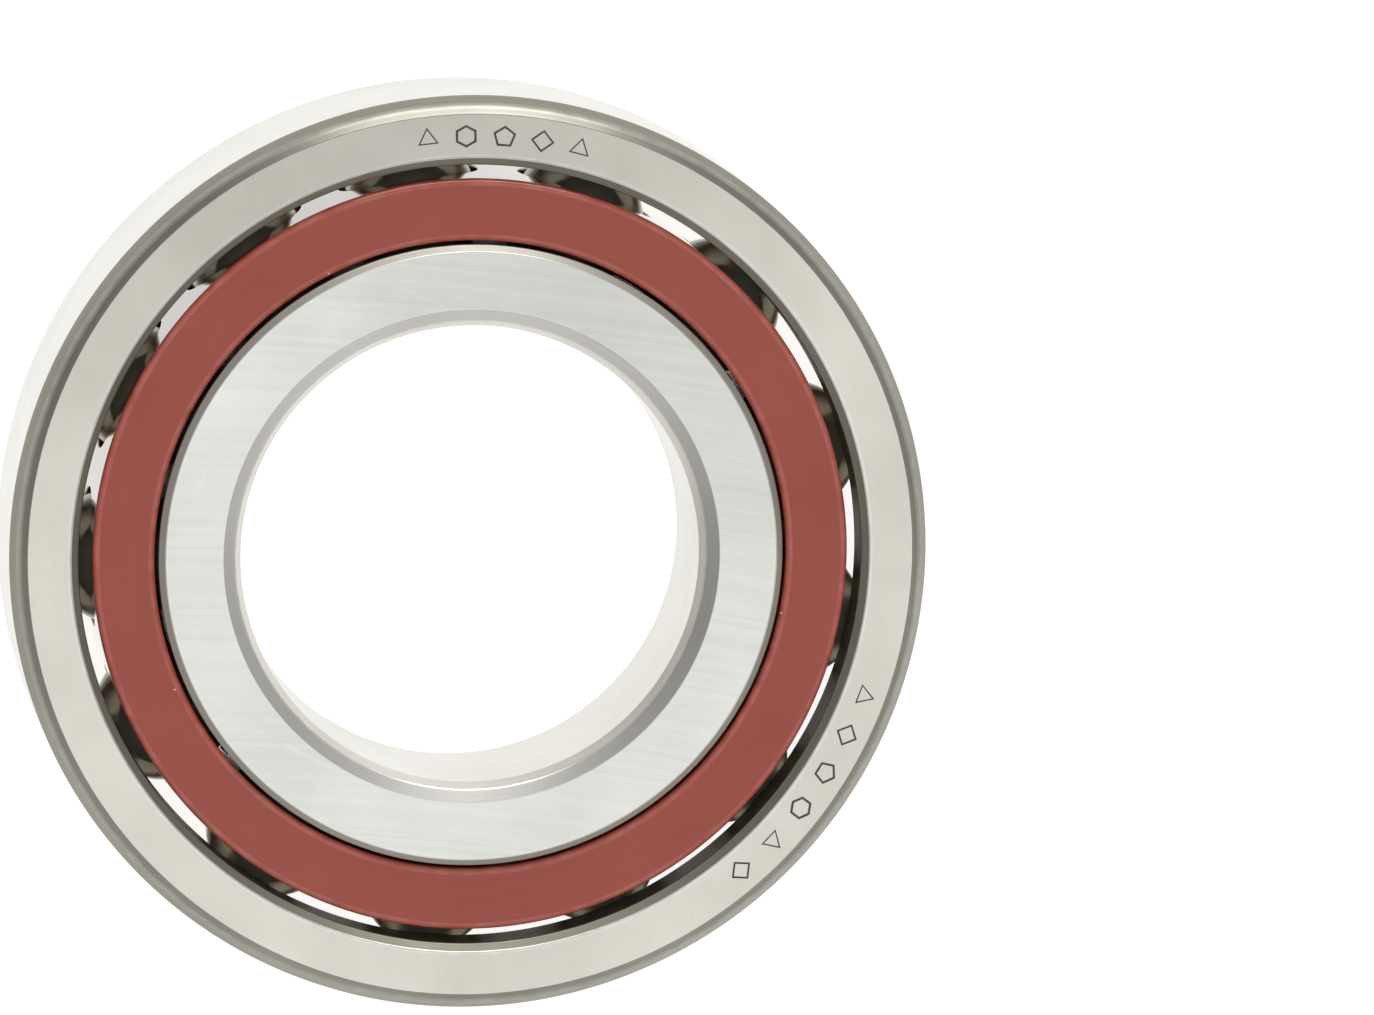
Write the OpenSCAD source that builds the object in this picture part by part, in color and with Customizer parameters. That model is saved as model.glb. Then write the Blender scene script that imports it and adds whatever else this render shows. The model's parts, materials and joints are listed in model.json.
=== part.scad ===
// Single-row angular contact ball bearing, open on both sides.
// The axis is Z, the origin is on it at mid-width, and +Z is the side of the outer ring's high shoulder.
// A section through a ring is drawn as [radius, z] and spun about Z.

/* [Boundary dimensions] */
// Diameter of the bore, which takes the shaft
bore_d = 40; // [34:1:43]
// Outside diameter, which sits in the housing
outer_d = 80; // [76:1:100]
// Width of both rings
width = 18; // [15:0.5:24]

/* [Ball set] */
// Number of balls
ball_count = 13; // [9:1:13]
// Diameter of one ball
ball_d = 11.906; // [9.525:0.001:12.3]
// Angle between the line through a ball's two contacts and the radial plane
contact_angle = 25; // [15:1:40]
// Direction of the first ball's centre, counted from +X towards +Y
first_ball_angle = 71.5; // [0:0.5:90]

/* [Raceways] */
// Groove radius as a share of the ball's diameter
groove_conformity = 0.52; // [0.515:0.005:0.54]
// Gap left between a ball and each groove at its contact
contact_gap = 0.015; // [0.010:0.005:0.030]

/* [Outer ring] */
// Height of the high shoulder above the groove's bottom
outer_shoulder = 1.89; // [1.2:0.01:2.4]
// Height of the lip that the balls snap over, above the groove's bottom
snap_lip = 0.14; // [0.08:0.01:0.3]
// Width of the lip before the counterbore opens out
snap_lip_land = 0.3; // [0.2:0.05:0.8]
// Angle of the counterbore's cone to the axis
counterbore_angle = 12.5; // [5:0.5:14]
// Corner between face and outside: its size along the face, and along the outside
outer_corner = [1.45, 1.9]; // [1:0.05:2.2]
// Knee of that corner: how far outwards from the face's edge, and how deep below the face
outer_knee = [0.75, 0.6]; // [0.3:0.05:0.8]
// Edge break at the high shoulder: its size along the face, and along the shoulder
outer_shoulder_edge = [0.78, 0.6]; // [0.3:0.05:1.2]

/* [Inner ring] */
// Height of both shoulders above the groove's bottom
inner_shoulder = 3.19; // [2:0.01:3.8]
// Corner between face and bore: its size along the face, and along the bore
bore_corner = [1.62, 1.7]; // [1.2:0.05:2.2]
// Knee of that corner: how far inwards from the face's edge, and how deep below the face
bore_knee = [1.1, 0.65]; // [0.3:0.05:1.1]
// Edge break at each shoulder: its size along the face, and along the shoulder
inner_shoulder_edge = [0.65, 0.45]; // [0.3:0.05:1]

/* [Cage] */
// Radial clearance between the cage and the inner ring's shoulders, which guide it
guide_clearance = 0.3; // [0.1:0.05:0.6]
// Radial clearance between the cage and the outer ring's high shoulder
cage_outer_clearance = 1.2; // [0.6:0.05:1.6]
// Depth of each end of the cage below the rings' faces
cage_recess = 0.45; // [0.2:0.05:1.2]
// Radial clearance of a ball in its pocket
pocket_clearance = 0.15; // [0.08:0.01:0.3]
// Radius of the cage's four round edges
cage_edge_r = 0.5; // [0.2:0.05:0.8]

/* [Hidden] */
ROUND = 96;
SPUN = 180;
DRILL_PAST = 0.2;

half_w = width / 2;
bore_r = bore_d / 2;
outer_r = outer_d / 2;
pitch_r = (bore_r + outer_r) / 2;
ball_r = ball_d / 2;
ball_pitch_angle = 360 / ball_count;

groove_r = groove_conformity * ball_d;
groove_shift = groove_r - ball_r - contact_gap;
groove_shift_r = groove_shift * cos(contact_angle);
groove_shift_z = groove_shift * sin(contact_angle);

outer_groove_centre = [pitch_r - groove_shift_r, -groove_shift_z];
inner_groove_centre = [pitch_r + groove_shift_r, groove_shift_z];
outer_groove_bottom = outer_groove_centre[0] + groove_r;
inner_groove_bottom = inner_groove_centre[0] - groove_r;

outer_land_r = outer_groove_bottom - outer_shoulder;
inner_land_r = inner_groove_bottom + inner_shoulder;

snap_lip_r = outer_groove_bottom - snap_lip;
snap_lip_z = outer_groove_centre[1] - groove_half_width(groove_r - snap_lip);
counterbore_z = snap_lip_z - snap_lip_land;
counterbore_mouth_r = snap_lip_r + (half_w + counterbore_z) * tan(counterbore_angle);

cage_bore_r = inner_land_r + guide_clearance;
cage_outer_r = outer_land_r - cage_outer_clearance;
cage_wall = cage_outer_r - cage_bore_r;
cage_half_w = half_w - cage_recess;
pocket_r = ball_r + pocket_clearance;
pocket_start = sqrt(cage_bore_r * cage_bore_r - pocket_r * pocket_r) - DRILL_PAST;

// Name of ball number i, such as ball_01.
function ball_name(i) = str("ball_", i < 10 ? "0" : "", i);

// Half of the groove's width where it lies at this distance, measured radially, from its centre.
function groove_half_width(radial_reach) = sqrt(groove_r * groove_r - radial_reach * radial_reach);

// Direction of ball number i about the axis.
function ball_angle(i) = first_ball_angle + (i - 1) * ball_pitch_angle;

// The same outline with z turned over, for the ring's other end.
function mirrored(points) = [for (i = [len(points) - 1 : -1 : 0]) [points[i][0], -points[i][1]]];

// Spins a section about the axis into a solid ring.
module spun() {
    rotate_extrude($fn = SPUN) children();
}

// One raceway, cut out of a ring's section.
module groove(centre) {
    translate(centre) circle(r = groove_r, $fn = ROUND);
}

// Corner between a ring's upper face and its outside, from the face to the wall.
function outer_corner_points() = [
    [outer_r - outer_corner[0], half_w],
    [outer_r - outer_corner[0] + outer_knee[0], half_w - outer_knee[1]],
    [outer_r, half_w - outer_corner[1]]
];

// Corner between a ring's upper face and its bore, from the wall to the face.
function bore_corner_points() = [
    [bore_r, half_w - bore_corner[1]],
    [bore_r + bore_corner[0] - bore_knee[0], half_w - bore_knee[1]],
    [bore_r + bore_corner[0], half_w]
];

// Edge break between the inner ring's upper face and its shoulder, from the face to the shoulder.
function inner_edge_points() = [
    [inner_land_r - inner_shoulder_edge[0], half_w],
    [inner_land_r, half_w - inner_shoulder_edge[1]]
];

// Outer ring: one high shoulder, one groove, and a counterbore that opens towards -Z.
module outer_ring() {
    inside = [
        [counterbore_mouth_r, -half_w],
        [snap_lip_r, counterbore_z],
        [snap_lip_r, 0],
        [outer_land_r, 0],
        [outer_land_r, half_w - outer_shoulder_edge[1]],
        [outer_land_r + outer_shoulder_edge[0], half_w]
    ];
    color("gainsboro") spun() difference() {
        polygon(concat(inside, outer_corner_points(), mirrored(outer_corner_points())));
        groove(outer_groove_centre);
    }
}

// Inner ring: a high shoulder on both sides of its groove.
module inner_ring() {
    upper = concat(bore_corner_points(), inner_edge_points());
    color("gainsboro") spun() difference() {
        polygon(concat(upper, mirrored(upper)));
        groove(inner_groove_centre);
    }
}

// Section of the cage: a rectangle with four round edges.
module cage_section() {
    edge_rs = [cage_bore_r + cage_edge_r, cage_outer_r - cage_edge_r];
    edge_z = cage_half_w - cage_edge_r;
    translate([edge_rs[0], -cage_half_w]) square([edge_rs[1] - edge_rs[0], 2 * cage_half_w]);
    translate([cage_bore_r, -edge_z]) square([cage_wall, 2 * edge_z]);
    for (r = edge_rs, z = [-edge_z, edge_z]) translate([r, z]) circle(r = cage_edge_r, $fn = ROUND);
}

// One pocket of the cage, as drilled: a cylinder about the Z axis that runs past both of the cage's walls.
module pocket() {
    translate([0, 0, pocket_start]) cylinder(r = pocket_r, h = cage_outer_r + DRILL_PAST - pocket_start, $fn = ROUND);
}

// Cage: one solid ring, drilled radially with a round pocket for each ball.
module cage() {
    color("indianred") difference() {
        spun() cage_section();
        for (i = [1 : ball_count]) rotate([0, 90, ball_angle(i)]) pocket();
    }
}

// Ball number i, standing on the pitch circle.
module ball(i) {
    color("silver") rotate([0, 0, ball_angle(i)]) translate([pitch_r, 0, 0]) sphere(r = ball_r, $fn = ROUND);
}

outer_ring();
inner_ring();
cage();
for (i = [1 : ball_count]) ball(i);
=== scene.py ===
"""Open single-row angular contact ball bearing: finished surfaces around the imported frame.

Lengths are metres and angles are degrees, unless a name says otherwise. The bearing lies flat with its axis
along Z and the high shoulder of its outer ring up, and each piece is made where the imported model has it.
"""

import json
import logging
import math
from dataclasses import dataclass
from enum import Enum
from typing import Mapping, NamedTuple, Sequence, Union

import bpy
from mathutils import Euler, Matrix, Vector


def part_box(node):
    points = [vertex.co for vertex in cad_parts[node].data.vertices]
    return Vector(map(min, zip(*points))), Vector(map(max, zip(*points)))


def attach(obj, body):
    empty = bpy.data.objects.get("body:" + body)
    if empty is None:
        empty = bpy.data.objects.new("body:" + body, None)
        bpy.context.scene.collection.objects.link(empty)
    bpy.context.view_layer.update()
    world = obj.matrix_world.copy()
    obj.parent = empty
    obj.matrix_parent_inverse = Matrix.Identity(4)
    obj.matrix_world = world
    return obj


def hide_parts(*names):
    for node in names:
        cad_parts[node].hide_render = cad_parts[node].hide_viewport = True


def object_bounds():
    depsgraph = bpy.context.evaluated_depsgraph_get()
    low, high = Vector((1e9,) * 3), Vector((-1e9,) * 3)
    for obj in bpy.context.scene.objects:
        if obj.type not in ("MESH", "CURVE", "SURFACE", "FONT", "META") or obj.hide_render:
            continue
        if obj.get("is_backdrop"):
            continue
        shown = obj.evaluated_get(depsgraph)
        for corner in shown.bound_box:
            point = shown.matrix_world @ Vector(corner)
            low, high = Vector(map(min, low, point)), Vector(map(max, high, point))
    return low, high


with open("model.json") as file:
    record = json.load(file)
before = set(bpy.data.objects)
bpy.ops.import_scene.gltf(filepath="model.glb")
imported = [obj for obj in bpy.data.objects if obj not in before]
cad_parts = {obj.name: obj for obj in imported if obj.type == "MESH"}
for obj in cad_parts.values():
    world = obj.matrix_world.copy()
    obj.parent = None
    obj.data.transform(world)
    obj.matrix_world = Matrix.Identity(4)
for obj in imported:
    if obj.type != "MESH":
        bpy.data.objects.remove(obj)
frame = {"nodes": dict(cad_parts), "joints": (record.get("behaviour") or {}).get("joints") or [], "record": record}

LOG = logging.getLogger("bearing")
MM = 0.001
MICRON = 0.000001
FULL_TURN = 2 * math.pi
BLACK = (0.0, 0.0, 0.0, 1.0)
# Gap between the bearing and the table under it, so that their faces don't share a plane.
TABLE_GAP = 20 * MICRON

Socket = bpy.types.NodeSocket
Value = Union[Socket, float, int, str, bool, Sequence[float], bpy.types.Material]
Inputs = Mapping[Union[int, str], Value]
Colour = tuple[float, float, float, float]


# ---------------------------------------------------------------------------------------------- node trees


class Tree:
    """Adds and joins the nodes of one node tree.

    Attributes:
        tree: The tree that is being built.
        source: Its Group Input node, where it has one.
        sink: Its Group Output node, where it has one.
    """

    # Places of the sockets that a Mix node uses for colours: share, first colour, second colour, result.
    MIX_SHARE, MIX_LOW, MIX_HIGH, MIX_RESULT = 0, 6, 7, 2

    def __init__(self, tree: bpy.types.NodeTree) -> None:
        """Starts on a tree that may already have nodes.

        Args:
            tree: The tree to add to.
        """
        self.tree = tree
        self.source: bpy.types.Node | None = None
        self.sink: bpy.types.Node | None = None

    @classmethod
    def group(cls, name: str, kind: str, inputs: Mapping[str, tuple], outputs: Mapping[str, str]) -> "Tree":
        """Makes an empty group with named sockets.

        Args:
            name: The group's name.
            kind: ShaderNodeTree or GeometryNodeTree.
            inputs: For each input's name, its socket type and, where it has one, its value to start with.
            outputs: For each output's name, its socket type.

        Returns:
            The tree, with its input and output nodes in place.
        """
        made = cls(bpy.data.node_groups.new(name, kind))
        for label, (socket_type, *start) in inputs.items():
            socket = made.tree.interface.new_socket(label, in_out="INPUT", socket_type=socket_type)
            if start:
                socket.default_value = start[0]
        for label, socket_type in outputs.items():
            made.tree.interface.new_socket(label, in_out="OUTPUT", socket_type=socket_type)
        made.source = made.tree.nodes.new("NodeGroupInput")
        made.sink = made.tree.nodes.new("NodeGroupOutput")
        return made

    def add(self, kind: str, inputs: Inputs | None = None, **settings: object) -> bpy.types.Node:
        """Adds a node.

        Args:
            kind: The node's type name.
            inputs: For each input, by name or place, a socket to link to it or a value to set on it.
            settings: Properties of the node itself.

        Returns:
            The new node.
        """
        node = self.tree.nodes.new(kind)
        for name, value in settings.items():
            setattr(node, name, value)
        for key, value in (inputs or {}).items():
            self.feed(node.inputs[key], value)
        return node

    def first(self, kind: str, inputs: Inputs | None = None, **settings: object) -> Socket:
        """Adds a node and returns its first output."""
        return self.add(kind, inputs, **settings).outputs[0]

    def feed(self, target: Socket, value: Value) -> None:
        """Links a socket to an input, or sets a value on it.

        Args:
            target: The input.
            value: The socket to link, or the value to set.
        """
        if isinstance(value, Socket):
            self.tree.links.new(value, target)
        else:
            target.default_value = value

    def put_out(self, value: Value) -> None:
        """Gives the group's output its value."""
        self.feed(self.sink.inputs[0], value)

    def math(self, operation: str, *values: Value, clamp: bool = False) -> Socket:
        """Adds a Math node.

        Args:
            operation: What it does with its values.
            values: Its inputs, in order.
            clamp: Whether the result is kept from 0 to 1.

        Returns:
            Its result.
        """
        return self.first("ShaderNodeMath", dict(enumerate(values)), operation=operation, use_clamp=clamp)

    def sum_of(self, *parts: tuple[Value, float]) -> Socket:
        """Adds up two values, each by its share."""
        return self.math("ADD", *(self.math("MULTIPLY", value, share) for value, share in parts))

    def vector(self, operation: str, *values: Value, output: str = "Vector") -> Socket:
        """Adds a Vector Math node and returns the output of that name."""
        node = self.add("ShaderNodeVectorMath", dict(enumerate(values)), operation=operation)
        return node.outputs[output]

    def blend(self, share: Value, low: Value, high: Value) -> Socket:
        """Adds a Mix node for colours.

        Args:
            share: How much of the second colour there is.
            low: The first colour.
            high: The second colour.

        Returns:
            The mixed colour.
        """
        node = self.add("ShaderNodeMix", data_type="RGBA")
        for place, value in ((self.MIX_SHARE, share), (self.MIX_LOW, low), (self.MIX_HIGH, high)):
            self.feed(node.inputs[place], value)
        return node.outputs[self.MIX_RESULT]

    def remap(self, value: Value, low: float, high: float, to_low: float, to_high: float) -> Socket:
        """Adds a Map Range node that keeps its result inside the new range."""
        limits = {"Value": value, "From Min": low, "From Max": high, "To Min": to_low, "To Max": to_high}
        return self.add("ShaderNodeMapRange", limits).outputs["Result"]

    def use(self, group: "Tree", **inputs: Value) -> Socket:
        """Places a shader group in this tree.

        Args:
            group: The group to place.
            inputs: Its inputs by name, with an underscore for each space.

        Returns:
            The group's output.
        """
        node = self.add("ShaderNodeGroup", node_tree=group.tree)
        for name, value in inputs.items():
            self.feed(node.inputs[name.replace("_", " ")], value)
        return node.outputs[0]


def added(name: str, data: bpy.types.ID) -> bpy.types.Object:
    """Puts a new object into the scene.

    Args:
        name: The object's name.
        data: Its mesh, light or camera.

    Returns:
        The object.
    """
    thing = bpy.data.objects.new(name, data)
    bpy.context.scene.collection.objects.link(thing)
    return thing


def grown(name: str, base: bpy.types.Mesh, tree: Tree, **inputs: Value) -> bpy.types.Object:
    """Runs a geometry tree on a mesh and keeps the result as a plain mesh.

    Args:
        name: Name of the finished piece.
        base: The mesh that the tree starts from.
        tree: The geometry tree.
        inputs: The tree's inputs by name, with an underscore for each space.

    Returns:
        An object at the origin that holds the result and has no modifier.
    """
    piece = added(name, base)
    modifier = piece.modifiers.new("Grown", "NODES")
    modifier.node_group = tree.tree
    for socket in tree.tree.interface.items_tree:
        key = socket.name.replace(" ", "_")
        if socket.in_out == "INPUT" and key in inputs:
            modifier[socket.identifier] = inputs[key]
    graph = bpy.context.evaluated_depsgraph_get()
    finished = bpy.data.meshes.new_from_object(
        piece.evaluated_get(graph), preserve_all_data_layers=True, depsgraph=graph
    )
    piece.modifiers.clear()
    piece.data = finished
    finished.name = name
    return piece


def place(piece: bpy.types.Object, body: str, slot: str, *nodes: str) -> None:
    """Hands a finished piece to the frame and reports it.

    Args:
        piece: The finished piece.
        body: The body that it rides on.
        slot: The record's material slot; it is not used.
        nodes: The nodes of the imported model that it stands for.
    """
    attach(piece, body)
    if nodes:
        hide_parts(*nodes)
    LOG.info("%s: %d faces on %s", piece.name, len(piece.data.polygons), body)


# ------------------------------------------------------------------------------------- shared surface effects


class Effects:
    """Shader groups that more than one finish uses, each built once."""

    # The range that most values of a noise lie in.
    NOISE_RANGE = (0.3, 0.7)
    # How much of an edge's rub is left where the noise breaks it, and the noise's range that breaks it.
    UNBROKEN = 0.35
    BREAK_RANGE = (0.35, 0.65)
    # How a scratch is drawn out along its length, and how it bows.
    SCRATCH_STRETCH = (0.02, 1.0, 0.02)
    BOW_STRETCH = (22.0, 1.0, 22.0)
    BOW_SCALE = 3.0
    BOW_REACH = 4 * MM
    # How far the noise has to rise past the rarity for a full scratch.
    SCRATCH_RISE = 0.06

    def __init__(self) -> None:
        """Builds all the groups."""
        self.spun_lines = self._spun_lines()
        self.clouds = self._clouds()
        self.edge_wear = self._edge_wear()
        self.scratches = self._scratches()
        self.specks = self._specks()
        self.one_sided = self._one_sided()

    @staticmethod
    def _noise(tree: Tree, vector: Value, scale: Value, detail: float, roughness: float = 0.5) -> Socket:
        """Adds a Noise texture and returns its value."""
        inputs = {"Vector": vector, "Scale": scale, "Detail": detail, "Roughness": roughness}
        return tree.first("ShaderNodeTexNoise", inputs)

    def _spun_lines(self) -> Tree:
        """Fine lines that run round a centre, as a lathe or a grinding wheel leaves them.

        Returns:
            A group that puts out the lines' height, from 0 to 1.
        """
        tree = Tree.group(
            "Spun lines",
            "ShaderNodeTree",
            {
                "Vector": ("NodeSocketVector",),
                "Centre": ("NodeSocketVector", (0.0, 0.0, 0.0)),
                "Lines per metre": ("NodeSocketFloat", 8000.0),
                "Wander": ("NodeSocketFloat", 40.0),
            },
            {"Lines": "NodeSocketFloat"},
        )
        ins = tree.source.outputs
        away = tree.vector("SUBTRACT", ins["Vector"], ins["Centre"])
        x, y, z = tree.add("ShaderNodeSeparateXYZ", {0: away}).outputs
        radius = tree.math("SQRT", tree.math("ADD", tree.math("MULTIPLY", x, x), tree.math("MULTIPLY", y, y)))
        across = tree.math("MULTIPLY", radius, ins["Lines per metre"])
        along = tree.math("MULTIPLY", z, ins["Lines per metre"])
        drift = tree.math("MULTIPLY", tree.math("ADD", x, y), ins["Wander"])
        point = tree.first("ShaderNodeCombineXYZ", {0: across, 1: along, 2: drift})
        tree.put_out(self._noise(tree, point, scale=1.0, detail=2.0))
        return tree

    def _clouds(self) -> Tree:
        """Soft uneven patches, as handling, oil and heat treatment leave them.

        Returns:
            A group that puts out the patches, from 0 to 1.
        """
        tree = Tree.group(
            "Clouds",
            "ShaderNodeTree",
            {"Vector": ("NodeSocketVector",), "Scale": ("NodeSocketFloat", 150.0)},
            {"Clouds": "NodeSocketFloat"},
        )
        ins = tree.source.outputs
        noise = self._noise(tree, ins["Vector"], ins["Scale"], detail=4.0, roughness=0.6)
        tree.put_out(tree.remap(noise, *self.NOISE_RANGE, 0.0, 1.0))
        return tree

    def _edge_wear(self) -> Tree:
        """Uneven rubbing along the edges that a piece's "edge" attribute marks; on the cage it also paints a
        highlight along the rounded edges.

        Returns:
            A group that puts out the wear, from 0 to 1.
        """
        tree = Tree.group(
            "Edge wear",
            "ShaderNodeTree",
            {
                "Vector": ("NodeSocketVector",),
                "Edge": ("NodeSocketFloat", 0.0),
                "Scale": ("NodeSocketFloat", 600.0),
                "Amount": ("NodeSocketFloat", 0.6),
            },
            {"Wear": "NodeSocketFloat"},
        )
        ins = tree.source.outputs
        noise = self._noise(tree, ins["Vector"], ins["Scale"], detail=3.0)
        broken = tree.remap(noise, *self.BREAK_RANGE, self.UNBROKEN, 1.0)
        rubbed = tree.math("MULTIPLY", ins["Edge"], broken)
        tree.put_out(tree.math("MULTIPLY", rubbed, ins["Amount"], clamp=True))
        return tree

    def _scratches(self) -> Tree:
        """Sparse long scratches in one direction.

        Returns:
            A group that puts out a mask of the scratches.
        """
        tree = Tree.group(
            "Scratches",
            "ShaderNodeTree",
            {
                "Vector": ("NodeSocketVector",),
                "Turn": ("NodeSocketFloat", 0.5),
                "Scale": ("NodeSocketFloat", 3000.0),
                "Rarity": ("NodeSocketFloat", 0.68),
            },
            {"Scratches": "NodeSocketFloat"},
        )
        ins = tree.source.outputs
        turned = tree.first("ShaderNodeVectorRotate", {"Vector": ins["Vector"], "Angle": ins["Turn"]})
        bow = tree.vector("MULTIPLY", turned, self.BOW_STRETCH)
        waver = self._noise(tree, bow, self.BOW_SCALE, detail=0.0)
        shift = tree.first("ShaderNodeCombineXYZ", {1: tree.math("MULTIPLY", waver, self.BOW_REACH)})
        drawn = tree.vector("MULTIPLY", tree.vector("ADD", turned, shift), self.SCRATCH_STRETCH)
        noise = self._noise(tree, drawn, ins["Scale"], detail=2.0)
        over = tree.math("SUBTRACT", noise, ins["Rarity"])
        tree.put_out(tree.remap(over, 0.0, self.SCRATCH_RISE, 0.0, 1.0))
        return tree

    def _specks(self) -> Tree:
        """A few small round specks, as dust leaves on a surface.

        Returns:
            A group that puts out a mask of the specks.
        """
        tree = Tree.group(
            "Specks",
            "ShaderNodeTree",
            {
                "Vector": ("NodeSocketVector",),
                "Scale": ("NodeSocketFloat", 700.0),
                "Size": ("NodeSocketFloat", 0.1),
                "Share": ("NodeSocketFloat", 0.1),
            },
            {"Specks": "NodeSocketFloat"},
        )
        ins = tree.source.outputs
        cells = tree.add("ShaderNodeTexVoronoi", {"Vector": ins["Vector"], "Scale": ins["Scale"]})
        chance = tree.first("ShaderNodeSeparateXYZ", {0: cells.outputs["Color"]})
        chosen = tree.math("LESS_THAN", chance, ins["Share"])
        near = tree.math("LESS_THAN", cells.outputs["Distance"], ins["Size"])
        tree.put_out(tree.math("MULTIPLY", chosen, near))
        return tree

    @staticmethod
    def _one_sided() -> Tree:
        """A soft mask that is strongest on one side of the axis and gone on the other, which places a painted
        shade.

        Returns:
            A group that puts out the mask.
        """
        tree = Tree.group(
            "One sided",
            "ShaderNodeTree",
            {
                "Vector": ("NodeSocketVector",),
                "Side": ("NodeSocketVector", (0.0, 1.0, 0.0)),
                "Amount": ("NodeSocketFloat", 0.2),
            },
            {"Mask": "NodeSocketFloat"},
        )
        ins = tree.source.outputs
        around = tree.vector("NORMALIZE", tree.vector("MULTIPLY", ins["Vector"], (1.0, 1.0, 0.0)))
        facing = tree.math("MAXIMUM", tree.vector("DOT_PRODUCT", around, ins["Side"], output="Value"), 0.0)
        squared = tree.math("MULTIPLY", facing, facing)
        tree.put_out(tree.math("MULTIPLY", squared, ins["Amount"]))
        return tree


# ------------------------------------------------------------------------------------------------- finishes


class Surface(Tree):
    """A material with one Principled shader, and the coordinates of the piece that wears it."""

    def __init__(self, name: str, roughness: float, metallic: float) -> None:
        """Makes the material.

        Args:
            name: The material's name.
            roughness: The shader's roughness, where nothing changes it.
            metallic: How much of it is bare metal, from 0 to 1.
        """
        self.material = bpy.data.materials.new(name)
        self.material.use_nodes = True
        super().__init__(self.material.node_tree)
        self.shader = self.tree.nodes["Principled BSDF"]
        self.shader.inputs["Roughness"].default_value = roughness
        self.shader.inputs["Metallic"].default_value = metallic
        self.point = self.add("ShaderNodeTexCoord").outputs["Object"]
        self.edge = self.add("ShaderNodeAttribute", attribute_name="edge").outputs["Fac"]

    def colour(self, value: Value) -> None:
        """Sets or links the base colour."""
        self.feed(self.shader.inputs["Base Color"], value)

    def roughness(self, value: Value) -> None:
        """Sets or links the roughness."""
        self.feed(self.shader.inputs["Roughness"], value)

    def bump(self, height: Value, depth: float, strength: float) -> None:
        """Raises the surface by a height map.

        Args:
            height: The height, from 0 to 1.
            depth: What a height of 1 stands for.
            strength: How much of it shows.
        """
        inputs = {"Height": height, "Distance": depth, "Strength": strength}
        self.feed(self.shader.inputs["Normal"], self.add("ShaderNodeBump", inputs).outputs["Normal"])


@dataclass(frozen=True)
class SteelFinish:
    """A machined steel surface.

    Attributes:
        name: The material's name.
        light: Colour of the clean metal.
        dark: Colour where oil or heat treatment has dulled it.
        worn: Colour of a rubbed edge.
        roughness: Lowest and highest roughness.
        lines_per_metre: How close the machining lines lie.
        line_centre: Point that the lines run round.
        line_depth: Depth of the lines.
        line_strength: How much the lines show.
        line_tint: Share of the lines, against the patches, in the colour.
        line_wander: How soon a line fades into its neighbours.
        patch_scale: How small the dull patches are.
        patch_share: Share of the patches, against the lines, in the roughness.
        scratch_rarity: How rare scratches are, from about 0.6 to 1 for none.
        scratch_turns: Direction, in radians, and closeness of each of two families of scratches.
        scratch_tint: How much a scratch takes on the colour of a rubbed edge.
        scratch_depth: Depth of a scratch as a share of the lines' depth.
        painted_shade_side: Direction of the side that a painted shade darkens, in degrees from +X.
        painted_shade_by: How far that painted shade darkens the colour towards black.
        metallic: How bare the metal is: below 1, a film of oil lies on it.
    """

    name: str
    light: Colour
    dark: Colour
    worn: Colour
    roughness: tuple[float, float]
    lines_per_metre: float
    line_centre: tuple[float, float, float] = (0.0, 0.0, 0.0)
    line_depth: float = 2 * MICRON
    line_strength: float = 0.2
    line_tint: float = 0.5
    line_wander: float = 40.0
    patch_scale: float = 90.0
    patch_share: float = 0.6
    scratch_rarity: float = 1.0
    scratch_turns: tuple[tuple[float, float], ...] = ((0.35, 2600.0), (1.9, 3100.0))
    scratch_tint: float = 0.35
    scratch_depth: float = 0.4
    painted_shade_side: float = 0.0
    painted_shade_by: float = 0.0
    metallic: float = 1.0

    def material(self, effects: Effects) -> bpy.types.Material:
        """Builds the material.

        Args:
            effects: The shared groups.

        Returns:
            The finished material.
        """
        surface = Surface(self.name, self.roughness[0], self.metallic)
        lines = surface.use(
            effects.spun_lines,
            Vector=surface.point,
            Centre=self.line_centre,
            Lines_per_metre=self.lines_per_metre,
            Wander=self.line_wander,
        )
        clouds = surface.use(effects.clouds, Vector=surface.point, Scale=self.patch_scale)
        lightening = surface.use(effects.edge_wear, Vector=surface.point, Edge=surface.edge)
        contrast = surface.remap(lines, *effects.NOISE_RANGE, 0.0, 1.0)
        dulled = surface.sum_of((clouds, 1 - self.line_tint), (contrast, self.line_tint))
        colour = surface.blend(dulled, self.light, self.dark)
        height = lines
        if self.scratch_rarity < 1.0:
            scratch = self._scratch_mask(surface, effects)
            colour = surface.blend(surface.math("MULTIPLY", scratch, self.scratch_tint), colour, self.worn)
            height = surface.math("SUBTRACT", lines, surface.math("MULTIPLY", scratch, self.scratch_depth))
        colour = surface.blend(lightening, colour, self.worn)
        # Painted shade: one side of the piece is darkened towards black.
        if self.painted_shade_by:
            side = math.radians(self.painted_shade_side)
            painted_shade_mask = surface.use(
                effects.one_sided,
                Vector=surface.point,
                Side=(math.cos(side), math.sin(side), 0.0),
                Amount=self.painted_shade_by,
            )
            colour = surface.blend(painted_shade_mask, colour, BLACK)
        surface.colour(colour)
        rough = surface.sum_of((clouds, self.patch_share), (lines, 1 - self.patch_share))
        surface.roughness(surface.remap(rough, 0.0, 1.0, *self.roughness))
        surface.bump(height, self.line_depth, self.line_strength)
        return surface.material

    def _scratch_mask(self, surface: Surface, effects: Effects) -> Socket:
        """Adds two crossing families of scratches.

        Args:
            surface: The material to add them to.
            effects: The shared groups.

        Returns:
            The mask of both families.
        """
        masks = [
            surface.use(
                effects.scratches, Vector=surface.point, Turn=turn, Scale=scale, Rarity=self.scratch_rarity
            )
            for turn, scale in self.scratch_turns
        ]
        return surface.math("MAXIMUM", *masks)


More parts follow.
